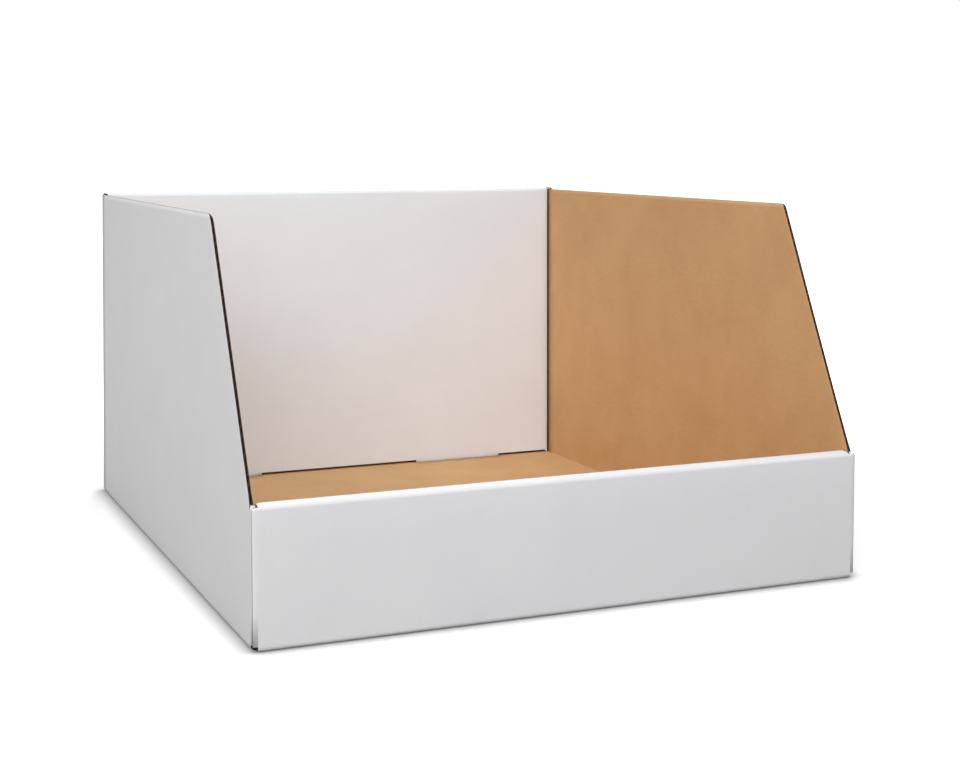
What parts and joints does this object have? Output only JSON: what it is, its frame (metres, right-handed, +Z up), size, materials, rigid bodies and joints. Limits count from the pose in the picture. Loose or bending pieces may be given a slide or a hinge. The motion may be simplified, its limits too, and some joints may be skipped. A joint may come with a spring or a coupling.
{
  "type": "open-top corrugated storage bin",
  "caption": "Die-cut corrugated bin with a tall rolled back wall, sides that slope down to a low rolled front lip, white outside and plain kraft board inside.",
  "frame": {"origin": "middle of the underside of the floor", "axes": "+Z up, the low front lip faces -Y and the tall back wall +Y, +X to the right seen from the front"},
  "size_m": [0.508, 0.61, 0.308],
  "materials": {
    "white_liner": "matte white outer liner of the board, a little cool, with a faint flute pattern",
    "kraft_liner": "matte natural brown inner liner with fine fibres",
    "flute_edge": "raw cut edge with the fluted layer open between the two liners"
  },
  "bodies": {
    "root": {"folded_bin": "white_liner"}
  },
  "joints": []
}
